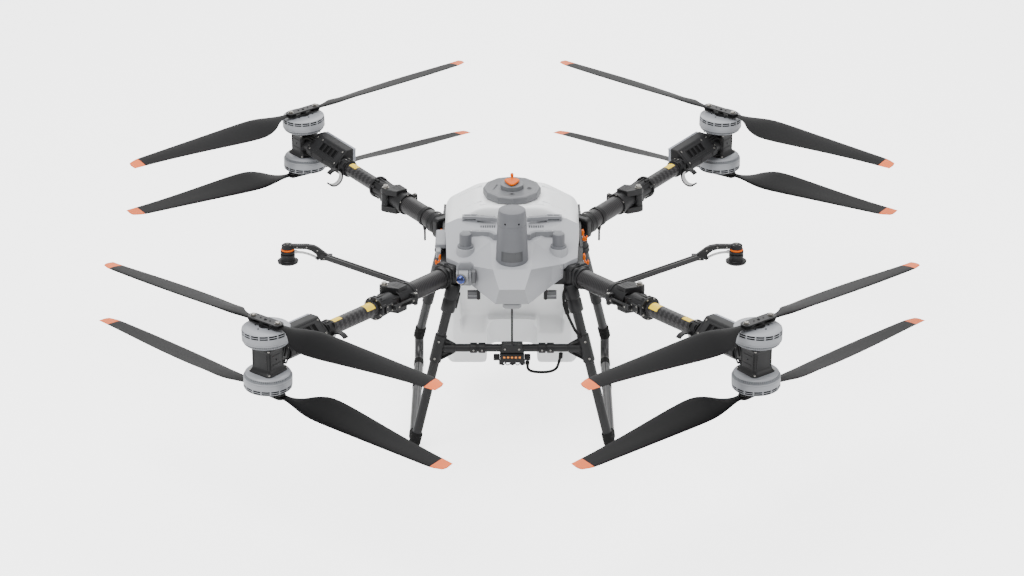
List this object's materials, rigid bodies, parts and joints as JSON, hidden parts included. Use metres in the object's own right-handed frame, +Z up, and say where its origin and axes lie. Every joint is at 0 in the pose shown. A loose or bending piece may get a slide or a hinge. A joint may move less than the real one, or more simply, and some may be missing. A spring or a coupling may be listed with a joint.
{
  "type": "folding agricultural spray drone",
  "caption": "Spray drone with four folding arms, coaxial rotor pairs with folding blades, a lift-out tank and two folding spray lances.",
  "frame": {"origin": "on the ground, under the middle of the rotor pattern", "axes": "+Z up, front of the drone towards -Y, +X to the right in the view from the front"},
  "size_m": [2.5228, 2.608, 0.802],
  "materials": {
    "carbon": "woven carbon under clear resin",
    "casting": "matte black coat",
    "shell_grey": "satin paint",
    "motor_grey": "satin light grey",
    "bracket_grey": "matte grey",
    "tower_grey": "fine texture",
    "tank_white": "translucent moulded",
    "lid_grey": "satin",
    "orange": "satin",
    "black_plastic": "moulded",
    "rubber_black": "matte",
    "leg_grey": "glossy dark coat",
    "blade_black": "moulded carbon nylon"
  },
  "bodies": {
    "root": {"chassis": "casting", "front_shell": "shell_grey", "deck_fittings": "bracket_grey", "sensor_tower": "tower_grey", "antennas": "tower_grey", "flight_controller": "black_plastic", "inner_arms": "carbon", "hinge_forks": "casting", "front_legs": "carbon", "rear_legs": "leg_grey", "crossbar": "casting", "foot_caps": "rubber_black", "light_module": "black_plastic", "cables": "rubber_black", "pump_unit": "black_plastic"},
    "tank": {"spray_tank": "tank_white"},
    "lid": {"tank_lid": "lid_grey"},
    "vent": {"vent_cap": "orange"},
    "battery": {"battery_pack": "black_plastic"},
    "camera": {"camera_head": "bracket_grey"},
    "arm_fl": {"arm_tube_fl": "carbon", "motor_pod_fl": "casting"},
    "arm_fr": {"arm_tube_fr": "carbon", "motor_pod_fr": "casting"},
    "arm_rl": {"arm_tube_rl": "carbon", "motor_pod_rl": "casting"},
    "arm_rr": {"arm_tube_rr": "carbon", "motor_pod_rr": "casting"},
    "latch_fl": {"fold_latch_fl": "casting"},
    "latch_fr": {"fold_latch_fr": "casting"},
    "latch_rl": {"fold_latch_rl": "casting"},
    "latch_rr": {"fold_latch_rr": "casting"},
    "lance_l": {"spray_lance_l": "carbon"},
    "lance_r": {"spray_lance_r": "carbon"},
    "disc_l": {"spray_disc_l": "black_plastic"},
    "disc_r": {"spray_disc_r": "black_plastic"},
    "rotor_fl_top": {"rotor_fl_top": "motor_grey"},
    "rotor_fl_low": {"rotor_fl_low": "motor_grey"},
    "rotor_fr_top": {"rotor_fr_top": "motor_grey"},
    "rotor_fr_low": {"rotor_fr_low": "motor_grey"},
    "rotor_rl_top": {"rotor_rl_top": "motor_grey"},
    "rotor_rl_low": {"rotor_rl_low": "motor_grey"},
    "rotor_rr_top": {"rotor_rr_top": "motor_grey"},
    "rotor_rr_low": {"rotor_rr_low": "motor_grey"},
    "blade_fl_top_a": {"blade_fl_top_a": "blade_black"},
    "blade_fl_top_b": {"blade_fl_top_b": "blade_black"},
    "blade_fl_low_a": {"blade_fl_low_a": "blade_black"},
    "blade_fl_low_b": {"blade_fl_low_b": "blade_black"},
    "blade_fr_top_a": {"blade_fr_top_a": "blade_black"},
    "blade_fr_top_b": {"blade_fr_top_b": "blade_black"},
    "blade_fr_low_a": {"blade_fr_low_a": "blade_black"},
    "blade_fr_low_b": {"blade_fr_low_b": "blade_black"},
    "blade_rl_top_a": {"blade_rl_top_a": "blade_black"},
    "blade_rl_top_b": {"blade_rl_top_b": "blade_black"},
    "blade_rl_low_a": {"blade_rl_low_a": "blade_black"},
    "blade_rl_low_b": {"blade_rl_low_b": "blade_black"},
    "blade_rr_top_a": {"blade_rr_top_a": "blade_black"},
    "blade_rr_top_b": {"blade_rr_top_b": "blade_black"},
    "blade_rr_low_a": {"blade_rr_low_a": "blade_black"},
    "blade_rr_low_b": {"blade_rr_low_b": "blade_black"}
  },
  "joints": [
    {"name": "fold_fl", "type": "hinge", "parent": "root", "child": "arm_fl", "pos_m": [-0.38579, -0.36653, 0.57727], "axis": [0.0315, 0.0418, 0.9986], "range_deg": [-100, 0]},
    {"name": "fold_fr", "type": "hinge", "parent": "root", "child": "arm_fr", "pos_m": [0.38579, -0.36653, 0.57727], "axis": [-0.0315, 0.0418, 0.9986], "range_deg": [0, 100]},
    {"name": "fold_rl", "type": "hinge", "parent": "root", "child": "arm_rl", "pos_m": [-0.41043, 0.39923, 0.57942], "axis": [0.0315, -0.0418, 0.9986], "range_deg": [0, 100]},
    {"name": "fold_rr", "type": "hinge", "parent": "root", "child": "arm_rr", "pos_m": [0.41043, 0.39923, 0.57942], "axis": [-0.0315, -0.0418, 0.9986], "range_deg": [-100, 0]},
    {"name": "latch_turn_fl", "type": "hinge", "parent": "root", "child": "latch_fl", "pos_m": [-0.29085, -0.37181, 0.5745], "axis": [0.0315, 0.0418, 0.9986], "range_deg": [0, 90]},
    {"name": "latch_turn_fr", "type": "hinge", "parent": "root", "child": "latch_fr", "pos_m": [0.29085, -0.37181, 0.5745], "axis": [-0.0315, 0.0418, 0.9986], "range_deg": [-90, 0]},
    {"name": "latch_turn_rl", "type": "hinge", "parent": "root", "child": "latch_rl", "pos_m": [-0.31549, 0.40451, 0.57664], "axis": [0.0315, -0.0418, 0.9986], "range_deg": [-90, 0]},
    {"name": "latch_turn_rr", "type": "hinge", "parent": "root", "child": "latch_rr", "pos_m": [0.31549, 0.40451, 0.57664], "axis": [-0.0315, -0.0418, 0.9986], "range_deg": [0, 90]},
    {"name": "lance_fold_l", "type": "hinge", "parent": "root", "child": "lance_l", "pos_m": [-0.296, 0.42, 0.245], "axis": [0, 0, 1], "range_deg": [0, 100]},
    {"name": "lance_fold_r", "type": "hinge", "parent": "root", "child": "lance_r", "pos_m": [0.296, 0.42, 0.245], "axis": [0, 0, 1], "range_deg": [-100, 0]},
    {"name": "camera_tilt", "type": "hinge", "parent": "root", "child": "camera", "pos_m": [-0.148, -0.242, 0.588], "axis": [1, 0, 0], "range_deg": [-25, 25]},
    {"name": "tank_lift", "type": "slide", "parent": "root", "child": "tank", "axis": [0, 0, 1], "range_m": [0, 0.3]},
    {"name": "lid_turn", "type": "hinge", "parent": "tank", "child": "lid", "pos_m": [0, 0.094, 0.73], "axis": [0, 0, 1], "range_deg": [0, 90]},
    {"name": "vent_turn", "type": "hinge", "parent": "lid", "child": "vent", "pos_m": [0, 0.092, 0.755], "axis": [0, 0, 1], "range_deg": [0, 90]},
    {"name": "battery_lift", "type": "slide", "parent": "root", "child": "battery", "axis": [0, 0, 1], "range_m": [0, 0.26]},
    {"name": "disc_spin_l", "type": "hinge", "parent": "lance_l", "child": "disc_l", "pos_m": [-0.75828, 0.69312, 0.245], "axis": [0, 0, 1], "continuous": true},
    {"name": "disc_spin_r", "type": "hinge", "parent": "lance_r", "child": "disc_r", "pos_m": [0.75828, 0.69312, 0.245], "axis": [0, 0, 1], "continuous": true},
    {"name": "spin_fl_top", "type": "hinge", "parent": "arm_fl", "child": "rotor_fl_top", "pos_m": [-0.70118, -0.83911, 0.65698], "axis": [-0.0237, 0.0179, 0.9996], "continuous": true},
    {"name": "spin_fl_low", "type": "hinge", "parent": "arm_fl", "child": "rotor_fl_low", "pos_m": [-0.70118, -0.83911, 0.55702], "axis": [0.0237, -0.0179, 0.9996], "continuous": true},
    {"name": "spin_fr_top", "type": "hinge", "parent": "arm_fr", "child": "rotor_fr_top", "pos_m": [0.70118, -0.83911, 0.65698], "axis": [0.0237, 0.0179, 0.9996], "continuous": true},
    {"name": "spin_fr_low", "type": "hinge", "parent": "arm_fr", "child": "rotor_fr_low", "pos_m": [0.70118, -0.83911, 0.55702], "axis": [-0.0237, -0.0179, 0.9996], "continuous": true},
    {"name": "spin_rl_top", "type": "hinge", "parent": "arm_rl", "child": "rotor_rl_top", "pos_m": [-0.70118, 0.83911, 0.65698], "axis": [-0.0237, -0.0179, 0.9996], "continuous": true},
    {"name": "spin_rl_low", "type": "hinge", "parent": "arm_rl", "child": "rotor_rl_low", "pos_m": [-0.70118, 0.83911, 0.55702], "axis": [0.0237, 0.0179, 0.9996], "continuous": true},
    {"name": "spin_rr_top", "type": "hinge", "parent": "arm_rr", "child": "rotor_rr_top", "pos_m": [0.70118, 0.83911, 0.65698], "axis": [0.0237, -0.0179, 0.9996], "continuous": true},
    {"name": "spin_rr_low", "type": "hinge", "parent": "arm_rr", "child": "rotor_rr_low", "pos_m": [0.70118, 0.83911, 0.55702], "axis": [-0.0237, 0.0179, 0.9996], "continuous": true},
    {"name": "fold_blade_fl_top_a", "type": "hinge", "parent": "rotor_fl_top", "child": "blade_fl_top_a", "pos_m": [-0.66561, -0.8702, 0.7169], "axis": [-0.0237, 0.0179, 0.9996], "range_deg": [0, 84]},
    {"name": "fold_blade_fl_top_b", "type": "hinge", "parent": "rotor_fl_top", "child": "blade_fl_top_b", "pos_m": [-0.73953, -0.80593, 0.714], "axis": [-0.0237, 0.0179, 0.9996], "range_deg": [-84, 0]},
    {"name": "fold_blade_fl_low_a", "type": "hinge", "parent": "rotor_fl_low", "child": "blade_fl_low_a", "pos_m": [-0.66561, -0.8702, 0.4971], "axis": [0.0237, -0.0179, 0.9996], "range_deg": [0, 84]},
    {"name": "fold_blade_fl_low_b", "type": "hinge", "parent": "rotor_fl_low", "child": "blade_fl_low_b", "pos_m": [-0.73953, -0.80593, 0.5], "axis": [0.0237, -0.0179, 0.9996], "range_deg": [-84, 0]},
    {"name": "fold_blade_fr_top_a", "type": "hinge", "parent": "rotor_fr_top", "child": "blade_fr_top_a", "pos_m": [0.66561, -0.8702, 0.7169], "axis": [0.0237, 0.0179, 0.9996], "range_deg": [-84, 0]},
    {"name": "fold_blade_fr_top_b", "type": "hinge", "parent": "rotor_fr_top", "child": "blade_fr_top_b", "pos_m": [0.73953, -0.80593, 0.714], "axis": [0.0237, 0.0179, 0.9996], "range_deg": [0, 84]},
    {"name": "fold_blade_fr_low_a", "type": "hinge", "parent": "rotor_fr_low", "child": "blade_fr_low_a", "pos_m": [0.66561, -0.8702, 0.4971], "axis": [-0.0237, -0.0179, 0.9996], "range_deg": [-84, 0]},
    {"name": "fold_blade_fr_low_b", "type": "hinge", "parent": "rotor_fr_low", "child": "blade_fr_low_b", "pos_m": [0.73953, -0.80593, 0.5], "axis": [-0.0237, -0.0179, 0.9996], "range_deg": [0, 84]},
    {"name": "fold_blade_rl_top_a", "type": "hinge", "parent": "rotor_rl_top", "child": "blade_rl_top_a", "pos_m": [-0.7409, 0.80757, 0.714], "axis": [-0.0237, -0.0179, 0.9996], "range_deg": [0, 84]},
    {"name": "fold_blade_rl_top_b", "type": "hinge", "parent": "rotor_rl_top", "child": "blade_rl_top_b", "pos_m": [-0.66424, 0.86855, 0.71691], "axis": [-0.0237, -0.0179, 0.9996], "range_deg": [-84, 0]},
    {"name": "fold_blade_rl_low_a", "type": "hinge", "parent": "rotor_rl_low", "child": "blade_rl_low_a", "pos_m": [-0.7409, 0.80757, 0.5], "axis": [0.0237, 0.0179, 0.9996], "range_deg": [0, 84]},
    {"name": "fold_blade_rl_low_b", "type": "hinge", "parent": "rotor_rl_low", "child": "blade_rl_low_b", "pos_m": [-0.66424, 0.86855, 0.4971], "axis": [0.0237, 0.0179, 0.9996], "range_deg": [-84, 0]},
    {"name": "fold_blade_rr_top_a", "type": "hinge", "parent": "rotor_rr_top", "child": "blade_rr_top_a", "pos_m": [0.7409, 0.80757, 0.714], "axis": [0.0237, -0.0179, 0.9996], "range_deg": [-84, 0]},
    {"name": "fold_blade_rr_top_b", "type": "hinge", "parent": "rotor_rr_top", "child": "blade_rr_top_b", "pos_m": [0.66424, 0.86855, 0.71691], "axis": [0.0237, -0.0179, 0.9996], "range_deg": [0, 84]},
    {"name": "fold_blade_rr_low_a", "type": "hinge", "parent": "rotor_rr_low", "child": "blade_rr_low_a", "pos_m": [0.7409, 0.80757, 0.5], "axis": [-0.0237, 0.0179, 0.9996], "range_deg": [-84, 0]},
    {"name": "fold_blade_rr_low_b", "type": "hinge", "parent": "rotor_rr_low", "child": "blade_rr_low_b", "pos_m": [0.66424, 0.86855, 0.4971], "axis": [-0.0237, 0.0179, 0.9996], "range_deg": [0, 84]}
  ]
}
